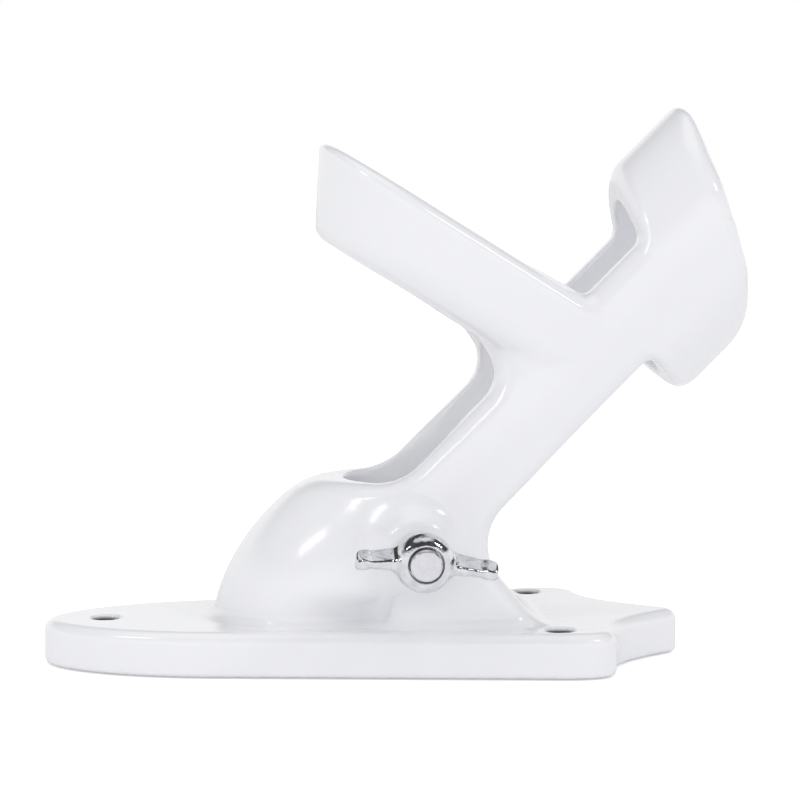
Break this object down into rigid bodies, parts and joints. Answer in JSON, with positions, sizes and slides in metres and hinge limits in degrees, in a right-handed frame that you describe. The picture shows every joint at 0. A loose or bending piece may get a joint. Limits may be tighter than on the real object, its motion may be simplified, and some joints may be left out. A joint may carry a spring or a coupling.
{
  "type": "flagpole bracket",
  "caption": "Cast flagpole bracket with an upright and a 45 degree socket on a screw-down wall plate, and a wing screw that clamps the pole.",
  "frame": {"origin": "on the plate's underside, where the upright socket's axis meets it", "axes": "+X towards the plate's scalloped end and the tilted socket's mouth, +Z away from the wall along the upright socket, the wing screw on the -Y side"},
  "size_m": [0.1305, 0.0651, 0.1009],
  "materials": {
    "white_paint": "gloss powder coat",
    "bright_zinc": "bright plated"
  },
  "bodies": {
    "bracket": {"bracket_casting": "white_paint"},
    "stud": {"clamp_stud": "bright_zinc"},
    "wing": {"wing_head": "bright_zinc"}
  },
  "joints": [
    {"name": "clamp_feed", "type": "slide", "parent": "bracket", "child": "stud", "axis": [0, 1, 0], "range_m": [-0.00255, 0.0051]},
    {"name": "wing_turn", "type": "hinge", "parent": "stud", "child": "wing", "pos_m": [-0.0022, -0.028, 0.022], "axis": [0, 1, 0], "range_deg": [-720, 1440]}
  ],
  "couplings": [
    {"joint": "clamp_feed", "follows": "wing_turn", "m_per_rad": 0.00020213}
  ]
}
